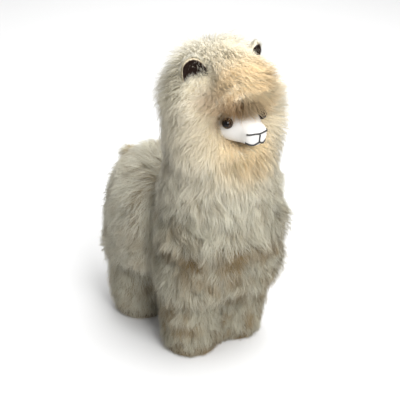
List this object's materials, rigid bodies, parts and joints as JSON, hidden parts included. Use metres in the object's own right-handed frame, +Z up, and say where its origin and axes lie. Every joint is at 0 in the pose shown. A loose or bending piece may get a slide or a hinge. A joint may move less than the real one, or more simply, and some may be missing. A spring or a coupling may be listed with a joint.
{
  "type": "stuffed alpaca",
  "caption": "Standing soft toy animal of long cream fur, with a smooth white muzzle, bead eyes, stitched nose and mouth, and small dark-lined ears.",
  "frame": {"origin": "under the middle of the toy's box, on the surface it stands on", "axes": "+Z up, the animal faces -Y, its left side is +X"},
  "size_m": [0.1396, 0.2498, 0.33],
  "materials": {
    "fur": "long soft cream fur",
    "white_hide": "smooth shorn white hide",
    "dark_hide": "dark brown napped hide",
    "bead": "glossy",
    "thread": "twisted embroidery thread",
    "sole_hide": "matte tan hide"
  },
  "bodies": {
    "root": {"torso": "fur", "neck": "fur", "head": "fur", "leg_front_left": "fur", "leg_front_right": "fur", "leg_rear_left": "fur", "leg_rear_right": "fur", "tail": "fur", "ear_left": "fur", "ear_right": "fur", "ear_lining_left": "dark_hide", "ear_lining_right": "dark_hide", "muzzle": "white_hide", "eye_left": "bead", "eye_right": "bead", "nose_stitch": "thread", "lip_stitch": "thread", "mouth_stitch": "thread", "sole_front_left": "sole_hide", "sole_front_right": "sole_hide", "sole_rear_left": "sole_hide", "sole_rear_right": "sole_hide"}
  },
  "joints": []
}
